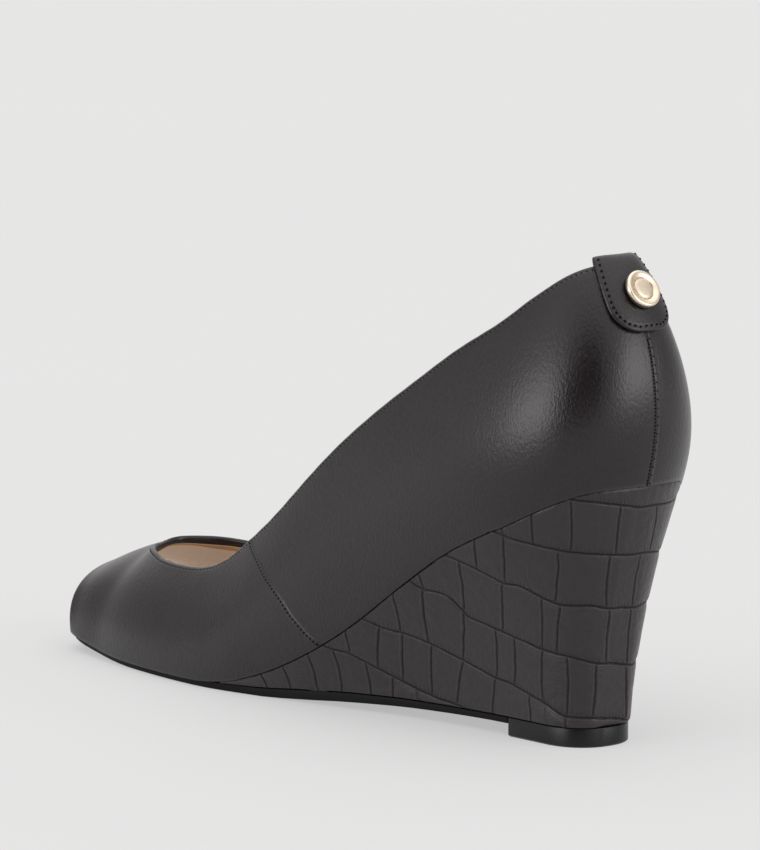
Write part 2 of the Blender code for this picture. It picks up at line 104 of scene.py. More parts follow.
# Threads up the back seam, between two heights: a cord of dark threads laid end to end in the seam's
# groove, a painted shade of the groove, and a row of stitches beside it
BACK_SEAM_Y = -0.3 * MM
BACK_SEAM_HEIGHTS = (70.2 * MM, 108 * MM)
BackRow = namedtuple("BackRow", "name y pitch way length")
BACK_ROWS = (
    BackRow("back_seam_shade_cord", BACK_SEAM_Y, 0.9 * MM, (0.0, 0.0, 1.0), 1.15 * MM),
    BackRow("back_seam_stitches", -1.2 * MM, 2.2 * MM, (0.0, 0.94, 0.34), 1.5 * MM),
)

# Leathers: distance between the pebbles of the grain, its depth, the roughness, how far
# the painted shade in the grain's valleys and the lighter pebbles lie apart, and the coat
Finish = namedtuple("Finish", "cell depth roughness contrast coat")
UPPER_FINISH = Finish(0.60 * MM, 0.062 * MM, 0.31, 1.0, 0.15)
TAB_FINISH = Finish(0.60 * MM, 0.062 * MM, 0.33, 1.0, 0.15)
LINING_FINISH = Finish(0.70 * MM, 0.02 * MM, 0.75, 0.2, 0.0)
FOOT_BED_FINISH = Finish(0.60 * MM, 0.02 * MM, 0.75, 0.2, 0.0)

# Worn surfaces: scale and detail of the haze and of the specks, dark and light shades, how
# far the gloss varies, and the height and strength of the specks
Wear = namedtuple("Wear", "haze specks dark light gloss height strength")
RING_WEAR = Wear((900.0, 4.0), (3800.0, 2.0), 0.86, 1.1, 0.14, 0.012 * MM, 0.5)
FACE_WEAR = RING_WEAR._replace(strength=1.0)
RUBBER_WEAR = Wear((90.0, 4.0), (1600.0, 3.0), 0.7, 1.5, 0.2, 0.05 * MM, 0.6)

# A ridge, or a groove where the height is negative, along a value of a named attribute
Line = namedtuple("Line", "attribute centre width height")

# The bump recipes count heights in this unit
RELIEF = 0.1 * MM

# The cover is unrolled round an upright axis inside the heel, on a drum of this radius,
# and runs straight on along each side in front of it. Around is 0 at the back of the heel
# and positive on the outer side.
COVER_AXIS_X = -1.7 * MM
COVER_DRUM = 20.0 * MM

# Long creases of the embossed hide, from the top of the cover to its foot: around and up,
# in millimetres
LONG_CREASES = (
    ((0, 63.9), (6, 65.2), (12, 66.2), (17, 66.9), (23, 69.5), (40, 75)),
    ((0, 51.2), (9, 52.0), (19, 52.8), (28, 54.1), (35, 55.5), (46, 60), (60, 66)),
    ((0, 37.0), (6, 37.2), (12, 38.3), (22, 38.2), (27, 39.4), (31, 40.7), (35, 42.4),
     (40, 42.3), (43, 43.5), (49, 46.0), (56, 48.2), (62, 52)),
    ((0, 22.0), (10, 22.7), (21, 24.7), (31, 25.6), (40, 27.7), (45, 28.9), (51, 30.4),
     (56, 31.6), (58, 35.4), (62, 37.4), (68, 37.6), (73, 42)),
    ((0, 7.2), (11, 8.0), (22, 8.2), (27, 9.7), (37, 12.6), (45, 14.9), (50, 15.4),
     (61, 18.9), (71, 22.2), (79, 24.2), (84, 24.6), (91, 27.5), (96, 32)),
    ((0, 1.0), (50, 3.0), (66, 6.2), (73, 7.1), (79, 8.6), (86, 11.0), (92, 13.3),
     (99, 16.4), (104, 17.0), (110, 21.0)),
)

# Short creases across each strip of the hide, from the long crease over it to the next:
# where each starts and ends, around, in millimetres. No crease crosses the first strip,
# which lies over the first long crease.
CROSS_CREASES = (
    (),
    ((35.0, 35.8), (26.8, 28.1), (17.6, 18.0), (5.8, 5.7), (-5.6, -6.7), (45.0, 46.0)),
    ((44.5, 47.4), (35.9, 39.4), (21.2, 23.5), (7.3, 7.2), (-3.3, -3.8), (53.5, 56.0)),
    ((64.9, 66.9), (52.6, 56.2), (40.4, 43.8), (28.4, 30.8), (21.7, 24.1), (5.6, 5.7),
     (-3.5, -5.7)),
    ((77.0, 79.4), (67.5, 71.1), (56.2, 60.4), (46.3, 49.0), (40.3, 42.6), (30.8, 32.4),
     (20.4, 21.0), (9.7, 10.6), (-5.5, -8.4)),
    ((95.9, 98.1), (85.5, 90.4), (79.1, 82.9), (70.3, 73.5), (60.5, 64.9), (49.8, 52.4),
     (37.5, 37.9), (21.6, 21.7)),
    ((94.0, 95.4), (86.3, 87.1), (78.9, 79.2), (103.0, 105.0), (111.0, 113.0),
     (119.5, 121.0), (128.0, 129.5)),
)

# The inner side is a guess: it takes the short creases that start at least this far round
# the outer side and shifts them on, and its long creases sink and wave a little. All in
# millimetres.
MIRRORED_FROM = 9.0
MIRROR_SHIFT = 5.5
INNER_SINK = 2.4
INNER_WAVE = 0.7

# Heights of the strips over the first long crease and under the last, and the widths of a
# strip's two end scales
END_STRIP = 14 * MM
END_SCALE = 12 * MM

# Half sections of the button in millimetres, from its axis outwards: radius and height.
# Radii outside the face are stretched to fit the stud.
RING_PROFILE = (
    (0, -0.2), (4.75, -0.2), (5.02, 0.0), (5.1, 0.4), (5.1, 1.15), (4.98, 1.42), (4.78, 1.56),
    (4.5, 1.6), (4.2, 1.57), (3.6, 1.40), (3.2, 1.27), (3.06, 1.08), (2.97, 0.85), (0, 0.85),
)
FACE_PROFILE = (
    (0, 1.50), (0.9, 1.49), (1.8, 1.45), (2.4, 1.36), (2.75, 1.22), (2.93, 1.0), (2.93, 0.8),
    (0, 0.8),
)
FACE_RADIUS = 3.0
BUTTON_WELD = 0.005 * MM

# Sides of the studio: direction, cosines where a side starts and is full, and gain
Side = namedtuple("Side", "direction start full gain")
EVEN_LIGHT = 0.52
BRIGHT_SIDES = (
    Side((0, 0, 1), 0.40, 0.95, 1.05),
    Side((0.34, 0.93, 0.15), 0.78, 0.96, 0.50),
    Side((0.225, 0.970, 0.06), 0.925, 0.993, 4.6),
    Side((-0.95, 0.22, 0.20), 0.80, 0.97, 0.40),
    Side((-0.940, -0.310, 0.12), 0.84, 0.985, 3.4),
    Side((0.64, -0.55, 0.54), 0.74, 0.97, 0.42),
)
DIM_SIDE = Side((-0.53, 0.835, 0.15), 0.84, 0.935, -1.0)
LIGHT_COLOR = (1.0, 0.985, 0.975, 1.0)

FLOOR_COLOR = (0.27, 0.27, 0.27)
FLOOR_GLOW = 0.45
FLOOR_SIZE = 30.0


def tint(name, description, default):
    return FloatVectorProperty(
        name=name, description=description, subtype="COLOR", size=3, min=0.0, max=1.0,
        default=default,
    )


def size(name, description, default, low, high):
    """A length, given here in millimetres."""
    return FloatProperty(
        name=name, description=description, default=default * MM, min=low * MM, max=high * MM,
        unit="LENGTH",
    )


class UpperSettings(bpy.types.PropertyGroup):
    leather_color: tint("Leather", "Colour of the smooth leather", (0.0092, 0.0066, 0.0076))
    lining_color: tint("Lining", "Colour of the lining", (0.95, 0.80, 0.70))
    tan_color: tint("Tan band", "Colour of the band inside the topline", (0.60, 0.38, 0.20))
    thread_color: tint("Thread", "Colour of the sewing thread", (0.004, 0.004, 0.004))
    edge_to_stitches: size("Edge to stitches", "From the topline to its stitches", 1.4, 0.5, 5)
    stitch_pitch: size("Stitch pitch", "From one stitch of the topline to the next", 1.5, 1, 6)
    thread: size("Thread thickness", "Thickness of the sewing thread", 0.5, 0.2, 1.5)
    lining_stock: size("Lining thickness", "Thickness of the lining", 0.3, 0.1, 2)
    turned_edge: size("Turned edge", "Leather that shows inside, over the lining", 1.9, 0.5, 6)


class CoverSettings(bpy.types.PropertyGroup):
    hide_color: tint("Hide", "Colour of the embossed cover", (0.0185, 0.0152, 0.0166))
    stations: IntProperty(name="Stations", description="Points round it", default=600, min=120, max=640)
    levels: IntProperty(name="Levels", description="Points up it", default=120, min=40, max=150)
    stock: size("Cover thickness", "Thickness of the leather on the wedge", 0.45, 0.2, 1.2)
    crease_depth: size("Crease depth", "Depth of the hollow along the long creases", 0.22, 0, 1)
    crown: size("Crown", "Height of the swelling of each scale", 0.20, 0, 1)


class TrimSettings(bpy.types.PropertyGroup):
    metal_color: tint("Button", "Colour of the button's ring", (0.84, 0.72, 0.57))
    tab_inset: size("Tab stitch inset", "Distance of the tab's stitches from its edge", 1.45, 1, 4)
    tab_pitch: size("Tab stitch pitch", "From one stitch of the tab to the next", 1.85, 1, 6)


class SoleSettings(bpy.types.PropertyGroup):
    rubber_color: tint("Rubber", "Colour of the outsole and the top piece", (0.006, 0.006, 0.0063))
    foot_bed_color: tint("Foot bed", "Colour of the insole's leather", (0.80, 0.64, 0.52))
    edge_round: size("Edge rounding", "Radius of the soles' edges", 0.35, 0.1, 0.8)
    bed_round: size("Foot bed rounding", "Radius of its edges", 0.5, 0.1, 0.8)
    bed_gap: size("Foot bed gap", "Distance of the foot bed from the solid's wall", 0.6, 0, 1)


class StageSettings(bpy.types.PropertyGroup):
    azimuth: FloatProperty(
        name="Azimuth", description="Camera's turn from the square outer side to the back",
        default=radians(49.0), subtype="ANGLE",
    )
    elevation: FloatProperty(
        name="Elevation", description="Camera's angle over the floor",
        default=radians(8.5), subtype="ANGLE",
    )
    distance: size("Distance", "Camera's distance from what it looks at", 1700, 500, 6000)
    aim: FloatVectorProperty(
        name="Aim", description="Point in the middle of the picture", size=3,
        subtype="TRANSLATION", default=(0.02127, 0.04956, 0.08502),
    )
    lens: FloatProperty(
        name="Lens", description="Focal length of the camera in millimetres",
        default=280.8, min=20.0, max=400.0,
    )


def activate(obj):
    """Make one object the only selected and active one."""
    bpy.ops.object.select_all(action="DESELECT")
    obj.select_set(True)
    bpy.context.view_layer.objects.active = obj


def new_object(name, mesh):
    """Put a mesh into the scene as the active object."""
    obj = bpy.data.objects.new(name, mesh)
    bpy.context.scene.collection.objects.link(obj)
    activate(obj)
    return obj


@contextmanager
def editing(obj, select=None):
    """Edit one object's mesh, after an action such as SELECT or INVERT on its selection."""
    activate(obj)
    bpy.ops.object.mode_set(mode="EDIT")
    if select:
        bpy.ops.mesh.select_all(action=select)
    yield
    bpy.ops.object.mode_set(mode="OBJECT")


def pick(obj, kind, flags):
    """Select the flagged vertices or polygons of a mesh, and nothing else."""
    tools = bpy.context.scene.tool_settings
    tools.mesh_select_mode = (kind == "vertices", False, kind == "polygons")
    for part in ("vertices", "edges", "polygons"):
        items = getattr(obj.data, part)
        items.foreach_set("select", flags if part == kind else np.zeros(len(items), bool))


def apply_modifier(obj, kind, **settings):
    """Add a modifier, set it and apply it."""
    activate(obj)
    modifier = obj.modifiers.new(kind.lower(), kind)
    for name, value in settings.items():
        setattr(modifier, name, value)
    bpy.ops.object.modifier_apply(modifier=modifier.name)


def subdivide(obj):
    apply_modifier(obj, "SUBSURF", levels=2)


def copy_of(node, name):
    """A new object with a copy of a solid's mesh, its triangles merged into whole faces."""
    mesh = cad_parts[node].data.copy()
    mesh.name = name
    obj = new_object(name, mesh)
    if mesh.has_custom_normals:
        bpy.ops.mesh.customdata_custom_splitnormals_clear()
    with editing(obj, "SELECT"):
        bpy.ops.mesh.remove_doubles(threshold=0.002 * MM)
        bpy.ops.mesh.tris_convert_to_quads(face_threshold=pi, shape_threshold=pi)
    bpy.ops.object.shade_smooth()
    return obj


def dress(obj, material, slot, *nodes):
    """Give a finished piece its material and its body, and hide the solids that it stands for."""
    obj.data.materials.clear()
    obj.data.materials.append(material)
    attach(obj, "root")
    if nodes:
        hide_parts(*nodes)


def points_of(obj):
    co = np.empty(len(obj.data.vertices) * 3)
    obj.data.vertices.foreach_get("co", co)
    return co.reshape(-1, 3)


def normals_of(obj):
    return np.array([vertex.normal[:] for vertex in obj.data.vertices])


def move_points(obj, co):
    obj.data.vertices.foreach_set("co", np.asarray(co, np.float32).ravel())
    obj.data.update()


def set_attribute(obj, name, values):
    made = obj.data.attributes.new(name, "FLOAT", "POINT")
    made.data.foreach_set("value", np.asarray(values, np.float32))


def unit(vectors):
    return vectors / np.maximum(np.linalg.norm(vectors, axis=-1, keepdims=True), TINY)


def tree_of(obj):
    """A tree of a mesh's faces for rays and nearest points."""
    bm = bmesh.new()
    bm.from_mesh(obj.data)
    tree = BVHTree.FromBMesh(bm)
    bm.free()
    return tree


def nearest_of(points):
    """A tree of points that finds the nearest one."""
    tree = KDTree(len(points))
    for i, point in enumerate(points):
        tree.insert(point, i)
    tree.balance()
    return tree


def distances(points, others):
    """Distance from each point to the nearest of some others."""
    near = nearest_of(others)
    return np.array([near.find(point)[2] for point in points])


def smooth_patch(obj, seed):
    """Flags of the faces that run on without a sharp edge from the one at a seed point."""
    centres = np.array([face.center for face in obj.data.polygons])
    first = ((centres - np.array(seed)) ** 2).sum(1).argmin()
    pick(obj, "polygons", np.arange(len(centres)) == first)
    with editing(obj):
        bpy.ops.mesh.faces_select_linked_flat(sharpness=SHARP)
    return np.array([face.select for face in obj.data.polygons])


Loop = namedtuple("Loop", "points inward normals")


def border_loops(obj, flags):
    """Closed borders of the flagged faces, lowest first: points, inward ways and normals."""
    bm = bmesh.new()
    bm.from_mesh(obj.data)
    inside = {face for face, flag in zip(bm.faces, flags) if flag}
    following = {}
    for edge in bm.edges:
        near = [face for face in edge.link_faces if face in inside]
        if len(near) != 1:
            continue
        for corner in near[0].loops:
            if corner.edge == edge:
                following[corner.vert] = (corner.link_loop_next.vert, near[0])
    loops = []
    while following:
        at = next(iter(following))
        points, inward, normals = [], [], []
        while at in following:
            after, face = following.pop(at)
            points.append(at.co[:])
            inward.append((face.calc_center_median() - (at.co + after.co) / 2)[:])
            normals.append(face.normal[:])
            at = after
        points, inward, normals = (np.array(part) for part in (points, inward, normals))
        run = unit(np.roll(points, -1, 0) - points)
        inward = unit(inward - (inward * run).sum(1, keepdims=True) * run)
        loops.append(Loop(points, inward, unit(normals)))
    bm.free()
    return sorted(loops, key=lambda loop: loop.points[:, 2].mean())


def draw_back(obj, loop, distance, reach):
    """Draw a sheet back from one of its borders, along its own surface."""
    tree = tree_of(obj)
    inward = unit(loop.inward + np.roll(loop.inward, 1, 0))
    near = nearest_of(loop.points)
    points = points_of(obj)
    for i, point in enumerate(points):
        _, index, away = near.find(point)
        if away < reach:
            moved = point + inward[index] * distance * (1 - away / reach)
            points[i] = tree.find_nearest(Vector(moved))[0][:]
    move_points(obj, points)


def resample(points, pitch, closed=False, extra=()):
    """Points evenly spaced along a line, with other columns carried along."""
    rows = np.hstack([points, *extra])
    if closed:
        rows = np.vstack([rows, rows[:1]])
    run = np.concatenate([[0.0], np.cumsum(np.linalg.norm(np.diff(rows[:, :3], axis=0), axis=1))])
    count = max(2, int(round(run[-1] / pitch)))
    at = np.linspace(0.0, run[-1], count + 1)
    if closed:
        at = at[:-1]
    return np.array([np.interp(at, run, column) for column in rows.T]).T


def tag_edge(obj, edge):
    """Store how far each point lies from a closed edge, as the attribute from_edge."""
    set_attribute(obj, "from_edge", distances(points_of(obj), resample(edge, 0.4 * MM, True)))


def on_surface(tree, points, lift=0.0):
    """Nearest points of a surface, lifted off it by a distance, and its normals there."""
    found = [tree.find_nearest(Vector(point)) for point in points]
    places = np.array([hit[0][:] for hit in found])
    normals = unit(np.array([hit[1][:] for hit in found]))
    return places + normals * lift, normals


Row = namedtuple("Row", "places along normals")


def row_inside(tree, loop, pitch, inset, lift):
    """A row of stitches that follows a closed border, a distance inside it."""
    line = resample(loop.points, pitch, closed=True, extra=(loop.inward, loop.normals))
    places = line[:, :3] + unit(line[:, 3:6]) * inset + unit(line[:, 6:9]) * 0.3 * MM
    places, normals = on_surface(tree, places, lift)
    return Row(places, np.roll(places, -1, 0) - np.roll(places, 1, 0), normals)


def one_stitch(length, thickness):
    """Points and faces of one stitch: a short thread that dips into the leather at its ends."""
    taper, dip_depth = 0.35, 0.45
    bpy.ops.mesh.primitive_cylinder_add(
        vertices=6, radius=thickness / 2, depth=length, rotation=(0, pi / 2, 0),
        end_fill_type="NGON",
    )
    stitch = bpy.context.object
    activate(stitch)
    bpy.ops.object.transform_apply(location=True, rotation=True, scale=True)
    with editing(stitch, "SELECT"):
        bpy.ops.mesh.bisect(plane_co=(0, 0, 0), plane_no=(1, 0, 0))
    points = points_of(stitch)
    share = np.abs(points[:, 0]) / (length / 2)
    points[:, 1:] *= (1 - taper * share)[:, None]
    points[:, 2] -= dip_depth * thickness * share ** 2
    faces = [list(face.vertices) for face in stitch.data.polygons]
    bpy.data.objects.remove(stitch, do_unlink=True)
    return points, faces


def sew(name, row, length, thickness, material):
    """Copies of one stitch along a row, as one piece."""
    shape, faces = one_stitch(length, thickness)
    along = unit(row.along)
    up = unit(row.normals - (row.normals * along).sum(1, keepdims=True) * along)
    turns = np.stack([along, np.cross(up, along), up], axis=1)
    points = row.places[:, None] + shape @ turns
    polygons = [
        [len(shape) * index + corner for corner in face]
        for index in range(len(row.places)) for face in faces
    ]
    mesh = bpy.data.meshes.new(name)
    mesh.from_pydata(points.reshape(-1, 3), [], polygons)
    mesh.shade_smooth()
    dress(new_object(name, mesh), material, "smooth_leather")


class Term:
    """A shader value. Each sum or product with it adds a math node to its tree."""

    def __init__(self, socket):
        self.socket = socket
        self.tree = socket.id_data

    def __add__(self, other):
        return math("ADD", self, other)

    def __sub__(self, other):
        return math("SUBTRACT", self, other)

    def __rsub__(self, other):
        return math("SUBTRACT", other, self)

    def __mul__(self, other):
        return math("MULTIPLY", self, other)

    def __truediv__(self, other):
        return math("DIVIDE", self, other)


def feed(node, inputs):
    """Set a node's inputs, by name or number, to constants or terms."""
    for name, value in inputs.items():
        if isinstance(value, Term):
            node.id_data.links.new(value.socket, node.inputs[name])
        else:
            node.inputs[name].default_value = value


def shader_node(tree, kind, inputs=None, output=0, **settings):
    """Add a shader node and give one of its outputs, by name or number, as a term."""
    node = tree.nodes.new("ShaderNode" + kind)
    for name, value in settings.items():
        setattr(node, name, value)
    feed(node, inputs or {})
    return Term(node.outputs[output])


def math(operation, *values):
    """A math node on terms and constants."""
    tree = next(value.tree for value in values if isinstance(value, Term))
    return shader_node(tree, "Math", dict(enumerate(values)), operation=operation)


def noise(where, scale, detail, output="Fac", roughness=0.5):
    inputs = {"Vector": where, "Scale": scale, "Detail": detail, "Roughness": roughness}
    return shader_node(where.tree, "TexNoise", inputs, output)


def attribute(tree, name):
    return shader_node(tree, "Attribute", output="Fac", attribute_name=name)


def ramp(value, start, end, low=0.0, high=1.0, easing="LINEAR"):
    """Run from low to high while a value runs from start to end."""
    return shader_node(
        value.tree, "MapRange",
        {"Value": value, "From Min": start, "From Max": end, "To Min": low, "To Max": high},
        interpolation_type=easing,
    )


def dip(value, centre, width):
    """A smooth hump from 0 to 1 where a value is near a centre."""
    off = (value - centre) / width
    return math("EXPONENT", off * off * -1.0)


def mix(share, first, second):
    """Go from one colour to another as a share runs from 0 to 1."""
    inputs = {0: share, 6: first, 7: second}
    return shader_node(share.tree, "Mix", inputs, 2, data_type="RGBA")


def rgba(color, shade=1.0):
    return (*(min(1.0, part * shade) for part in color), 1.0)


def shades(value, color, dark, light):
    """One colour from a dark shade to a light one, as a value runs from 0 to 1."""
    return mix(value, rgba(color, dark), rgba(color, light))


def bump(height, distance, strength=1.0):
    inputs = {"Strength": strength, "Distance": distance, "Height": height}
    return shader_node(height.tree, "Bump", inputs, "Normal")


def new_material(name, color, roughness, inputs=None):
    """A material, its shader with what stays constant, and its object coordinates."""
    made = bpy.data.materials.new(name)
    made.use_nodes = True
    made.diffuse_color = rgba(color)
    shader = made.node_tree.nodes["Principled BSDF"]
    feed(shader, {"Base Color": rgba(color), "Roughness": roughness, **(inputs or {})})
    return made, shader, shader_node(made.node_tree, "TexCoord", output="Object")


def recolor(material, name, start, end, color):
    """Colour a material differently where a named attribute lies under a value."""
    shader = material.node_tree.nodes["Principled BSDF"]
    own = Term(shader.inputs["Base Color"].links[0].from_socket)
    share = ramp(attribute(own.tree, name), start, end)
    feed(shader, {"Base Color": mix(share, rgba(color), own)})


def grain_height(where, cell):
    """Pebbled leather grain: cells a given distance apart, with finer pores over them."""
    tree = where.tree
    stretched = shader_node(
        tree, "Mapping", {"Vector": where, "Rotation": (0.5, 0.9, 0.3), "Scale": (1, 1, 0.5)}
    )
    shift = shader_node(
        tree, "VectorMath",
        {0: noise(where, 0.35 / cell, 2.0, "Color"), "Scale": cell * 2.2}, operation="SCALE",
    )
    bent = shader_node(tree, "VectorMath", {0: stretched, 1: shift}, operation="ADD")
    inputs = {"Vector": bent, "Scale": 1.0 / cell}
    cells = shader_node(tree, "TexVoronoi", inputs, "Distance", feature="SMOOTH_F1")
    return noise(stretched, 1.6 / cell, 3.0) * 0.5 + (cells * -1.1 + 1.0)


def leather_material(name, color, finish, lines=()):
    """Finished leather: grain, cloudy gloss, lines along named attributes, and painted shade in the
    grain's valleys.
    """
    made, shader, where = new_material(
        name, color, finish.roughness,
        {"Coat Weight": finish.coat, "Coat Roughness": 0.26, "Specular IOR Level": 0.38},
    )
    cloud = noise(where, 38.0, 3.0)
    grain = grain_height(where, finish.cell)
    height = grain * (finish.depth / RELIEF)
    for line in lines:
        shape = dip(attribute(where.tree, line.attribute), line.centre, line.width)
        height = shape * (line.height / RELIEF) + height
    # Painted shade: the colour is darker in the grain's valleys and lighter on its pebbles; the cloud
    # adds a random tone
    valley_shade_and_mottle = grain * 0.7 + cloud * 0.3 - 0.2
    feed(shader, {
        "Base Color": shades(valley_shade_and_mottle, color, 1 - 0.55 * finish.contrast, 1 + 0.6 * finish.contrast),
        "Roughness": cloud * 0.16 + (finish.roughness - 0.08),
        "Normal": bump(height, RELIEF),
    })
    return made


def thread_material(color):
    """Dull twisted thread."""
    made, shader, where = new_material("sewing_thread", color, 0.8, {"Specular IOR Level": 0.06})
    twist = shader_node(
        where.tree, "TexWave", {"Vector": where, "Scale": 1500.0, "Distortion": 1.5},
        "Fac", wave_type="BANDS", bands_direction="DIAGONAL",
    )
    feed(shader, {
        "Base Color": shades(twist, color, 0.6, 1.6),
        "Normal": bump(twist, 0.05 * MM, 0.6),
    })
    return made


def worn_material(name, color, roughness, wear, inputs):
    """Metal or rubber with a haze in its colour and gloss, and fine specks."""
    made, shader, where = new_material(name, color, roughness, inputs)
    haze = noise(where, *wear.haze)
    feed(shader, {
        "Base Color": shades(haze, color, wear.dark, wear.light),
        "Roughness": haze * wear.gloss + (roughness - wear.gloss / 2),
        "Normal": bump(noise(where, *wear.specks), wear.height, wear.strength),
    })
    return made


def cover_material(color):
    """Embossed hide: creases and fine pleats over each long one, dark with painted shade, painted
    highlights on the scales' lips and edges, and small wrinkles shaded in paint.
    """
    made, shader, where = new_material(
        "croc_leather_finish", color, 0.36,
        {"Coat Weight": 0.12, "Coat Roughness": 0.28, "Specular IOR Level": 0.30},
    )
    tree = where.tree
    rolled = shader_node(tree, "UVMap", output="UV", uv_map="unrolled")
    waver = noise(rolled, 260.0, 3.0)
    sway = waver - 0.5
    tall = attribute(tree, "row_height")
    under = math("FRACT", sway * 0.03 + attribute(tree, "row")) * tall
    over = tall - under
    along_off = math("MINIMUM", under, over)
    side = math("FRACT", sway * 0.06 + attribute(tree, "column"))
    across_off = math("MINIMUM", side, 1.0 - side) * attribute(tree, "column_width")
    long_line = dip(along_off, 0.0, 0.26 * MM)
    clear = 1.0 - dip(along_off, 0.0, 0.55 * MM)
    cross_line = dip(across_off, 0.0, 0.24 * MM) * clear
    lip_and_highlight = dip(under, 0.62 * MM, 0.30 * MM) * 1.3
    edges = dip(across_off, 0.62 * MM, 0.26 * MM) * clear

    pleat_pitch = 1.15 * MM
    around = shader_node(tree, "SeparateXYZ", {0: rolled})
    phase = around * (pi / pleat_pitch) + waver * 7.0
    teeth = math("POWER", math("ABSOLUTE", math("SINE", phase)), 0.5)
    reach = noise(rolled, 170.0, 1.0) * (3.4 * MM) + 0.1 * MM
    pleats = (teeth - 1.0) * (ramp(over, 0.2 * MM, reach, 1.0, 0.0) * clear)
    folds = noise(rolled, 520.0, 4.0, roughness=0.6)
    height = (
        pleats * 3.0 + long_line * -3.4 + cross_line * -2.8 + lip_and_highlight + edges * 0.9
        + folds * 2.6 + grain_height(where, 0.55 * MM) * 0.35
    )
    # Painted shade darkens the colour in the creases, the pleats and the low parts of the wrinkles;
    # painted highlights lighten it on the scales' lower lips and by the cross creases
    dark = math("MAXIMUM", math("MAXIMUM", long_line, cross_line), pleats * -1.0)
    shade = (folds * 0.5 + 0.45) * (1.0 - dark) + (lip_and_highlight + edges) * 0.22
    feed(shader, {
        "Base Color": shades(shade, color, 0.12, 1.7),
        "Roughness": folds * 0.16 + 0.28 + dark * 0.5,
        "Normal": bump(height, RELIEF),
    })
    return made


def seam_x(z):
    """Where along the length the side seam lies at a height."""
    return np.interp(z, SEAM_Z, SEAM_X)


def seam_side(points):
    """Signed distance from the side seam, on either side of the shoe."""
    z = points[:, 2]
    slope = (seam_x(z + 0.5 * MM) - seam_x(z - 0.5 * MM)) / MM
    return (points[:, 0] - seam_x(z)) / np.sqrt(1 + slope ** 2)


def build_lining(sizes, topline):
    """A sheet inside the leather, with a tan band along the topline."""
    lining = copy_of("upper", "upper_lining")
    if smooth_patch(lining, UPPER_INSIDE).sum() < FEWEST_FACES:
        raise RuntimeError("the upper's inner face was not found")
    with editing(lining, "INVERT"):
        bpy.ops.mesh.delete(type="FACE")
    borders = border_loops(lining, np.ones(len(lining.data.polygons), bool))
    draw_back(lining, borders[0], LINING_FOOT, LINING_FOOT_REACH)
    draw_back(lining, borders[-1], sizes.turned_edge, LINING_TOP_REACH)
    subdivide(lining)
    move_points(lining, points_of(lining) + normals_of(lining) * LINING_GAP)
    apply_modifier(lining, "SOLIDIFY", thickness=sizes.lining_stock, offset=1.0)
    tag_edge(lining, topline)
    finish = leather_material("lining_finish", sizes.lining_color, LINING_FINISH)
    recolor(finish, "from_edge", *TAN_BAND, sizes.tan_color)
    dress(lining, finish, "insole_leather")


def seat_foot(leather, foot):
    """Let the foot of the leather down on the soles, and crease it so that it stays full."""
    points = points_of(leather)
    away = distances(points, foot)
    points[away < FOOT_REACH, 2] -= FOOT_DROP
    move_points(leather, points)
    crease_edges(leather, points_of(leather)[away < 0.01 * MM], 3.5 * MM, 0.8)


def fair_vamp(leather, skin, borders):
    """Smooth the outside of the vamp away from its borders."""
    points = points_of(leather)
    outside = np.zeros(len(points), bool)
    for face, flag in zip(leather.data.polygons, skin):
        if flag:
            outside[list(face.vertices)] = True
    vamp = (points[:, 0] > VAMP_START) & (distances(points, borders) > VAMP_BORDER)
    pick(leather, "vertices", outside & vamp)
    with editing(leather):
        bpy.ops.mesh.vertices_smooth(factor=0.5, repeat=6)


def crease_edges(leather, line, reach, weight):
    """Crease the sharp edges near a line, so that subdivision keeps them tight."""
    near = nearest_of(line)
    bm = bmesh.new()
    bm.from_mesh(leather.data)
    layers = bm.edges.layers.float
    crease = layers.get("crease_edge") or layers.new("crease_edge")
    for edge in bm.edges:
        if edge.calc_face_angle(0.0) > radians(55):
            if near.find((edge.verts[0].co + edge.verts[1].co) / 2)[2] < reach:
                edge[crease] = weight
    bm.to_mesh(leather.data)
    bm.free()


def tag_leather(leather, topline):
    """Distances from the topline and the seams, for the lines in the leather."""
    tag_edge(leather, topline)
    points = points_of(leather)
    set_attribute(leather, "from_side_seam", seam_side(points))
    behind = points[:, 0] < 0.0
    set_attribute(leather, "from_back_seam", np.where(behind, points[:, 1] - BACK_SEAM_Y, 1.0))


def side_seam_row(tree):
    """The stitches of the side seam on both sides of the shoe, set nearly end to end so that they also
    paint the shade of the seam's groove.
    """
    rows = []
    for side in (1, -1):
        heights = np.linspace(SEAM_Z[0], SEAM_Z[-1], 60)
        starts = [Vector((seam_x(z), side * SIDE_START, z)) for z in heights]
        hits = [tree.ray_cast(start, Vector((0, -side, 0)))[0] for start in starts]
        line = resample(np.array([hit[:] for hit in hits if hit is not None]), 1.25 * MM)
        places, normals = on_surface(tree, line, -THREAD_SINK)
        rows.append((places, np.gradient(line, axis=0), normals))
    return Row(*(np.concatenate(part) for part in zip(*rows)))


def back_seam_row(tree, back):
    """One row of threads up the back."""
    starts = [Vector((-BACK_START, back.y, z)) for z in np.arange(*BACK_SEAM_HEIGHTS, back.pitch)]
    hits = [tree.ray_cast(start, Vector((1, 0, 0))) for start in starts]
    places = np.array([hit[0][:] for hit in hits if hit[0] is not None])
    normals = np.array([hit[1][:] for hit in hits if hit[0] is not None])
    return Row(places - normals * BACK_THREAD_SINK, np.tile(back.way, (len(places), 1)), normals)


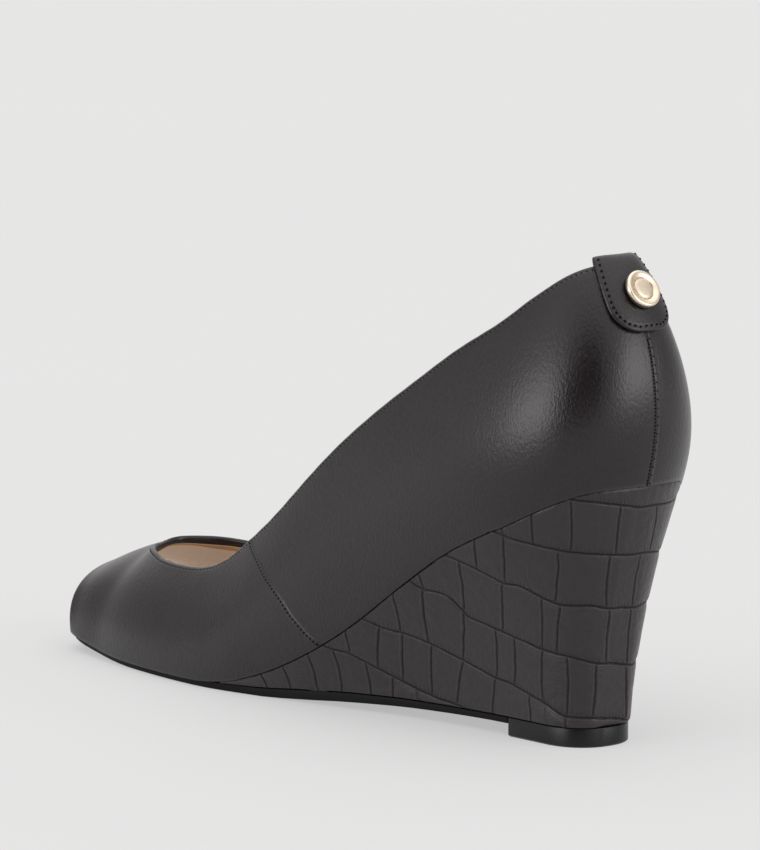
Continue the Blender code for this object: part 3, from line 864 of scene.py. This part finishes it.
class BuildUpper(bpy.types.Operator):
    """Leather of the upper with its turned topline, the lining and the rows of stitches"""

    bl_idname = "wedge_pump.build_upper"
    bl_label = "Build Upper"

    def execute(self, context):
        sizes = context.scene.pump_upper
        leather = copy_of("upper", "upper_leather")
        skin = smooth_patch(leather, UPPER_OUTSIDE)
        if skin.sum() < FEWEST_FACES:
            raise RuntimeError("the upper's outer face was not found")
        rims = border_loops(leather, skin)
        topline = rims[-1]
        build_lining(sizes, topline.points)

        seat_foot(leather, rims[0].points)
        crease_edges(leather, topline.points, 1.9 * MM, 0.45)
        fair_vamp(leather, skin, np.vstack([rim.points for rim in rims]))
        subdivide(leather)
        tag_leather(leather, topline.points)
        lines = (
            Line("from_edge", sizes.edge_to_stitches, 0.32 * MM, -0.07 * MM),
            Line("from_side_seam", 0.0, 0.24 * MM, -0.34 * MM),
            Line("from_side_seam", -0.7 * MM, 0.4 * MM, 0.16 * MM),
            Line("from_back_seam", 0.0, 0.26 * MM, -0.34 * MM),
            Line("from_back_seam", -0.9 * MM, 0.5 * MM, 0.18 * MM),
        )
        finish = leather_material("smooth_leather_finish", sizes.leather_color, UPPER_FINISH, lines)
        dress(leather, finish, "smooth_leather", "upper")

        tree = tree_of(leather)
        thread = thread_material(sizes.thread_color)
        row = row_inside(tree, topline, sizes.stitch_pitch, sizes.edge_to_stitches, -THREAD_SINK)
        sew("topline_stitches", row, sizes.stitch_pitch * 0.58, sizes.thread, thread)
        # Side seam: dark stitches nearly end to end, real stitches that also paint the shade in the
        # seam's groove
        sew("side_seam_stitches_and_shade", side_seam_row(tree), 1.1 * MM, sizes.thread, thread)
        for back in BACK_ROWS:
            sew(back.name, back_seam_row(tree, back), back.length, sizes.thread, thread)
        return {"FINISHED"}


def around_of(x, y):
    """Distance round the cover, unrolled on its drum: 0 at the back, + on the outer side."""
    side = np.where(y >= 0, 1.0, -1.0)
    turned = COVER_DRUM * np.arctan2(np.abs(y), np.maximum(COVER_AXIS_X - x, TINY))
    straight = COVER_DRUM * pi / 2 + (x - COVER_AXIS_X)
    return side * np.where(x < COVER_AXIS_X, turned, straight)


def crease_height(row, around):
    """Height of a long crease, eased at its corners."""
    place = np.abs(around) / MM
    inner = -around / MM
    eased = np.mean([
        np.interp(np.maximum(place + shift, 0.0), *zip(*LONG_CREASES[row]))
        for shift in (-1.6, -0.8, 0.0, 0.8, 1.6)
    ], axis=0)
    sink = INNER_SINK * np.clip(inner / 16.0, 0.0, 1.0)
    wave = INNER_WAVE * np.sin(row * 1.7 - inner * 0.13) * np.clip(inner / 10.0, 0.0, 1.0)
    return (eased - sink + wave) * MM


def cross_lines(strip, share):
    """Where the short creases of a strip lie, around, at shares of the strip's height."""
    spots = list(CROSS_CREASES[strip])
    spots += [
        (-top - MIRROR_SHIFT, -foot - MIRROR_SHIFT)
        for top, foot in CROSS_CREASES[strip] if abs(top) >= MIRRORED_FROM
    ]
    return [
        (top + (foot - top) * share + 0.5 * np.sin(pi * share) * np.sin(7 * top)) * MM
        for top, foot in sorted(spots)
    ]


def emboss(around, up, scale, sizes):
    """Where each point lies in the pattern of scales, and its swelling over the wedge.

    row is whole on a long crease and runs on downwards, and column is whole on a cross
    crease. The heights and widths are those of the strip and of the scale.
    """
    creases = [crease_height(row, around) for row in range(len(LONG_CREASES))]
    heights = [creases[0] + END_STRIP, *creases, np.minimum(creases[-1] - END_STRIP, -3 * MM)]
    step = np.gradient(around)
    row = np.zeros_like(up)
    tall = np.full_like(up, END_STRIP)
    column = np.full_like(up, 0.5)
    wide = np.full_like(up, 10 * MM)
    for strip, (ceiling, floor) in enumerate(zip(heights, heights[1:])):
        inside = (up <= ceiling) & (up > floor)
        share = (ceiling - up) / (ceiling - floor)
        row = np.where(inside, strip + share, row)
        slope = np.gradient(floor) / np.where(step == 0, 1, step)
        tilt = np.sqrt(1 + np.clip(slope, -1.5, 1.5) ** 2)
        tall = np.where(inside, (ceiling - floor) / tilt, tall)
        lines = cross_lines(strip, share)
        if not lines:
            continue
        mine = np.minimum((around - lines[-1]) / END_SCALE, 0.5) + len(lines) - 1
        before = np.maximum((around - lines[0]) / END_SCALE, -0.5)
        mine = np.where(around < lines[0], before, mine)
        width = np.full_like(up, END_SCALE)
        for k, (left, right) in enumerate(zip(lines, lines[1:])):
            between = (around >= left) & (around < right)
            mine = np.where(between, k + (around - left) / (right - left), mine)
            width = np.where(between, right - left, width)
        column = np.where(inside, mine + 1 + 40 * strip, column)
        wide = np.where(inside, width * scale, wide)
    across = column % 1.0
    down = row % 1.0
    swell = (1 - np.abs(2 * down - 1) ** 3) * (1 - np.abs(2 * across - 1) ** 5)
    over = (1 - down) * tall
    under = down * tall
    hollow = np.exp(-(over / (0.7 * MM)) ** 2) + np.exp(-(under / (0.9 * MM)) ** 2)
    shingle = 0.12 * MM * np.exp(-over / (1.6 * MM)) * (1 - np.exp(-over / (0.5 * MM)))
    relief = sizes.crown * swell - sizes.crease_depth * hollow + shingle
    return {"row": row, "row_height": tall, "column": column, "column_width": wide}, relief


def rim_of(core, faces):
    """The rim of the core's top or foot, as heights along the way round the heel."""
    points = max(border_loops(core, faces), key=lambda loop: len(loop.points)).points
    around = around_of(points[:, 0], points[:, 1])
    order = np.argsort(around)
    return around[order], points[order, 2]


def wrap_cover(sizes, tree, top, foot):
    """A fine grid wrapped on the wedge's wall and pushed out by the relief."""
    stations, levels = sizes.stations, sizes.levels
    bpy.ops.mesh.primitive_grid_add(x_subdivisions=stations, y_subdivisions=levels, size=2.0)
    cover = bpy.context.object
    cover.name = "wedge_cover"
    cover.data.name = "wedge_cover"
    flat = points_of(cover)
    around = flat[:, 0] * min(top[0][-1], foot[0][-1], -top[0][0], -foot[0][0])
    share = (flat[:, 1] + 1) / 2
    low = np.interp(around, *foot)
    tall = np.interp(around, *top) + 0.27 * MM - low
    up = low + share * tall
    wall, out = cast_wall(tree, around, low + np.clip(share * tall, 0.02 * MM, tall - 0.30 * MM))
    wall[:, 2] = up
    radius = np.hypot(wall[:, 0] - COVER_AXIS_X, wall[:, 1])
    scale = np.where(wall[:, 0] < COVER_AXIS_X, radius / COVER_DRUM, 1.0)
    pattern, relief = emboss(around, up, scale, sizes)
    from_rim = np.minimum(share, 1 - share) * tall
    rolled = np.clip(from_rim / (0.45 * MM), 0.0, 1.0)
    relief *= np.clip(from_rim / (1.5 * MM), 0.0, 1.0)
    lift = sizes.stock * (0.3 + 0.7 * np.sqrt(1 - (1 - rolled) ** 2)) + relief
    move_points(cover, wall + unit(out) * lift[:, None])
    for name, values in pattern.items():
        set_attribute(cover, name, values)
    corners = np.empty(len(cover.data.loops), int)
    cover.data.loops.foreach_get("vertex_index", corners)
    layer = cover.data.uv_layers[0]
    layer.name = "unrolled"
    uv = np.column_stack([around * scale, up])[corners]
    layer.data.foreach_set("uv", uv.astype(np.float32).ravel())
    close_cover(cover, stations, levels)
    activate(cover)
    bpy.ops.object.shade_smooth_by_angle(angle=SHARP)
    return cover


def cast_wall(tree, around, heights):
    """Points and normals of the wedge's wall, met from outside at places round it."""
    wall = np.empty((len(around), 3))
    out = np.empty_like(wall)
    for i, (s, z) in enumerate(zip(around, heights)):
        turn = min(abs(s) / COVER_DRUM, pi / 2)
        x = COVER_AXIS_X + max(0.0, abs(s) - COVER_DRUM * pi / 2)
        sense = 1.0 if s >= 0 else -1.0
        way = Vector((-cos(turn), sense * sin(turn), 0.0))
        start = Vector((x, 0.0, z)) + way * BACK_START
        hit = tree.ray_cast(start, -way)
        if hit[0] is None:
            hit = tree.find_nearest(start - way * BACK_START / 2)
        wall[i] = hit[0][:]
        out[i] = hit[1][:]
    return wall, out


def close_cover(cover, stations, levels):
    """Close the cover across the top, across the foot and at its open front."""
    bm = bmesh.new()
    bm.from_mesh(cover.data)
    bm.verts.ensure_lookup_table()
    across = stations + 1
    rows = [[bm.verts[level * across + i] for i in range(across)] for level in range(levels + 1)]
    for row in (rows[0], rows[-1]):
        for i in range(across // 2):
            j = across - 1 - i
            ring = [row[i], row[i + 1], row[j - 1], row[j]]
            corners = [v for k, v in enumerate(ring) if v not in ring[:k]]
            if len(corners) > 2:
                bm.faces.new(corners)
    for low, high in zip(rows, rows[1:]):
        bm.faces.new((low[0], low[-1], high[-1], high[0]))
    bmesh.ops.recalc_face_normals(bm, faces=bm.faces)
    if bm.calc_volume(signed=True) < 0:
        bmesh.ops.reverse_faces(bm, faces=bm.faces)
    bm.to_mesh(cover.data)
    bm.free()


class BuildWedgeCover(bpy.types.Operator):
    """Embossed leather cover of the wedge, from one tip round the heel to the other"""

    bl_idname = "wedge_pump.build_wedge_cover"
    bl_label = "Build Wedge Cover"

    def execute(self, context):
        sizes = context.scene.pump_cover
        core = copy_of("wedge", "wedge_core")
        normals = np.array([face.normal[:] for face in core.data.polygons])
        centres = np.array([face.center[:] for face in core.data.polygons])
        top = rim_of(core, normals[:, 2] > 0.5)
        foot = rim_of(core, (normals[:, 2] < -0.9) & (np.abs(centres[:, 1]) < 6 * MM))
        tree = tree_of(core)
        bpy.data.objects.remove(core, do_unlink=True)
        cover = wrap_cover(sizes, tree, top, foot)
        dress(cover, cover_material(sizes.hide_color), "croc_leather", "wedge")
        return {"FINISHED"}


def build_button(color):
    """Turn the button's ring and its sunk satin face on the stud's own axis."""
    stud = points_of(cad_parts["stud"])
    middle = (stud.max(0) + stud.min(0)) / 2
    axis = np.linalg.svd(stud - stud.mean(0), full_matrices=False)[2][2]
    axis = axis if axis[0] < 0 else -axis
    heights = (stud - middle) @ axis
    radius = np.linalg.norm((stud - middle) - np.outer(heights, axis), axis=1).max()
    radii, levels = zip(*RING_PROFILE)
    across = radius - max(radii) * MM
    up = heights.max() - max(levels) * MM
    metal = {"Metallic": 1.0}
    ring = turned("button_ring", RING_PROFILE, middle, axis, across, up)
    gold = worn_material("pale_gold_ring", color, 0.26, RING_WEAR, metal)
    dress(ring, gold, "pale_gold", "stud")
    face = turned("button_face", FACE_PROFILE, middle, axis, 0.0, up)
    satin = tuple(part * 0.80 for part in color)
    dress(face, worn_material("satin_button_face", satin, 0.42, FACE_WEAR, metal), "pale_gold")


def turned(name, profile, middle, axis, across, up):
    """Spin a profile round an axis, raised, and widened outside the face, and close it."""
    rows = [
        (radius * MM + (across if radius > FACE_RADIUS else 0.0), 0.0, height * MM + up)
        for radius, height in profile
    ]
    mesh = bpy.data.meshes.new(name)
    mesh.from_pydata(rows, [(i, i + 1) for i in range(len(rows) - 1)], [])
    obj = new_object(name, mesh)
    apply_modifier(
        obj, "SCREW", axis="Z", steps=96, use_merge_vertices=True,
        merge_threshold=BUTTON_WELD, use_normal_calculate=True,
    )
    obj.rotation_euler = Vector(axis).to_track_quat("Z", "Y").to_euler()
    obj.location = middle
    bpy.ops.object.transform_apply(location=True, rotation=True, scale=True)
    with editing(obj, "SELECT"):
        bpy.ops.mesh.remove_doubles(threshold=BUTTON_WELD)
        bpy.ops.mesh.normals_make_consistent(inside=False)
    bpy.ops.object.shade_smooth_by_angle(angle=SHARP)
    return obj


class BuildTab(bpy.types.Operator):
    """Back tab over the collar, its stitches and its round button"""

    bl_idname = "wedge_pump.build_tab"
    bl_label = "Build Back Tab"

    def execute(self, context):
        sizes = context.scene.pump_trim
        upper = context.scene.pump_upper
        tab = copy_of("heel_tab", "back_tab")
        rims = border_loops(tab, smooth_patch(tab, TAB_OUTSIDE))
        outline = max(rims, key=lambda loop: len(loop.points))
        subdivide(tab)
        tag_edge(tab, outline.points)
        lines = (
            Line("from_edge", 0.7 * MM, 0.45 * MM, 0.16 * MM),
            Line("from_edge", sizes.tab_inset, 0.36 * MM, -0.12 * MM),
        )
        leather = leather_material("tab_leather_finish", upper.leather_color, TAB_FINISH, lines)
        dress(tab, leather, "smooth_leather", "heel_tab")
        row = row_inside(tree_of(tab), outline, sizes.tab_pitch, sizes.tab_inset, TAB_THREAD_LIFT)
        seen = row.normals[:, 0] < -0.2
        thread = thread_material(upper.thread_color)
        sew("tab_stitches", Row(*(part[seen] for part in row)), 1.1 * MM, upper.thread * 1.2, thread)
        build_button(sizes.metal_color)
        return {"FINISHED"}


def ease(piece, radius):
    """Round a piece's sharp edges."""
    apply_modifier(piece, "BEVEL", width=radius, segments=3, limit_method="ANGLE", angle_limit=SHARP)
    bpy.ops.object.shade_smooth_by_angle(angle=radians(40))


class BuildSoles(bpy.types.Operator):
    """Outsole, top piece and foot bed with eased edges, the foot bed's sides painted dark as shade"""

    bl_idname = "wedge_pump.build_soles"
    bl_label = "Build Soles"

    def execute(self, context):
        sizes = context.scene.pump_sole
        for node, name, slot, roughness, level in (
            ("outsole", "outsole_rubber", "sole_rubber", 0.50, 0.10),
            ("top_piece", "top_piece_block", "top_piece_rubber", 0.30, 0.26),
        ):
            piece = copy_of(node, name)
            ease(piece, sizes.edge_round)
            finish = worn_material(
                name + "_finish", sizes.rubber_color, roughness, RUBBER_WEAR,
                {"Specular IOR Level": level},
            )
            dress(piece, finish, slot, node)
        bed = copy_of("insole", "foot_bed_cover")
        ease(bed, sizes.bed_round)
        normals = normals_of(bed)
        move_points(bed, points_of(bed) - normals * (sizes.bed_gap, sizes.bed_gap, 0.0))
        # The foot bed's sides, where its normals turn from up, get the rubber colour: painted shade, so
        # that the gap at the feather line reads as a dark shadow line
        set_attribute(bed, "level", normals[:, 2])
        finish = leather_material("foot_bed_finish", sizes.foot_bed_color, FOOT_BED_FINISH)
        recolor(finish, "level", 0.55, 0.75, sizes.rubber_color)
        dress(bed, finish, "insole_leather", "insole")
        return {"FINISHED"}


def studio_light(world):
    """Even pale light all round, brighter overhead, with one dim side that shapes the heel."""
    way = shader_node(world.node_tree, "TexCoord", output="Generated")

    def toward(side):
        cosine = shader_node(
            way.tree, "VectorMath", {0: way, 1: Vector(side.direction).normalized()},
            "Value", operation="DOT_PRODUCT",
        )
        return ramp(cosine, side.start, side.full, easing="SMOOTHSTEP") * side.gain

    light = toward(BRIGHT_SIDES[0]) + EVEN_LIGHT
    for side in BRIGHT_SIDES[1:]:
        light = light + toward(side)
    strength = light * (toward(DIM_SIDE) + 1.0)
    feed(world.node_tree.nodes["Background"], {"Strength": strength, "Color": LIGHT_COLOR})


def build_camera(scene, sizes):
    back = Vector((
        -sin(sizes.azimuth) * cos(sizes.elevation),
        cos(sizes.azimuth) * cos(sizes.elevation),
        sin(sizes.elevation),
    ))
    data = bpy.data.cameras.new("camera")
    data.lens = sizes.lens
    data.sensor_width = 36.0
    data.clip_end = 50.0
    camera = bpy.data.objects.new("camera", data)
    scene.collection.objects.link(camera)
    camera.location = Vector(sizes.aim) + back * sizes.distance
    camera.rotation_euler = back.to_track_quat("Z", "Y").to_euler()
    scene.camera = camera


def build_floor():
    bpy.ops.mesh.primitive_plane_add(size=FLOOR_SIZE)
    floor = bpy.context.object
    floor.name = "floor"
    glow = {
        "Specular IOR Level": 0.0, "Emission Color": rgba((1, 1, 1)),
        "Emission Strength": FLOOR_GLOW,
    }
    made, shader, where = new_material("pale_floor", FLOOR_COLOR, 0.9, glow)
    soft = noise(where, 2.0, 2.0)
    feed(shader, {"Base Color": shades(soft, FLOOR_COLOR, 0.99, 1.01)})
    floor.data.materials.append(made)


class BuildStage(bpy.types.Operator):
    """Pale floor, soft lights and the camera"""

    bl_idname = "wedge_pump.build_stage"
    bl_label = "Build Stage"

    def execute(self, context):
        scene = context.scene
        build_camera(scene, scene.pump_stage)
        build_floor()
        world = bpy.data.worlds.new("studio")
        scene.world = world
        world.use_nodes = True
        studio_light(world)
        scene.view_settings.view_transform = "Standard"
        return {"FINISHED"}


class WedgePumpPanel(bpy.types.Panel):
    bl_idname = "VIEW3D_PT_wedge_pump"
    bl_label = "Wedge Pump"
    bl_space_type = "VIEW_3D"
    bl_region_type = "UI"
    bl_category = "Wedge Pump"

    def draw(self, context):
        for group, operator in zip(SETTINGS, OPERATORS):
            settings = getattr(context.scene, group)
            box = self.layout.box()
            for name in settings.__annotations__:
                box.prop(settings, name)
            box.operator(operator.bl_idname)


SETTINGS = {
    "pump_upper": UpperSettings,
    "pump_cover": CoverSettings,
    "pump_trim": TrimSettings,
    "pump_sole": SoleSettings,
    "pump_stage": StageSettings,
}
OPERATORS = (BuildUpper, BuildWedgeCover, BuildTab, BuildSoles, BuildStage)


def register():
    for name, group in SETTINGS.items():
        bpy.utils.register_class(group)
        setattr(bpy.types.Scene, name, PointerProperty(type=group))
    for item in (*OPERATORS, WedgePumpPanel):
        bpy.utils.register_class(item)


def unregister():
    for item in (WedgePumpPanel, *reversed(OPERATORS)):
        bpy.utils.unregister_class(item)
    for name, group in SETTINGS.items():
        delattr(bpy.types.Scene, name)
        bpy.utils.unregister_class(group)


def main():
    register()
    bpy.ops.wedge_pump.build_upper()
    bpy.ops.wedge_pump.build_wedge_cover()
    bpy.ops.wedge_pump.build_tab()
    bpy.ops.wedge_pump.build_soles()
    bpy.ops.wedge_pump.build_stage()


if __name__ == "__main__":
    main()
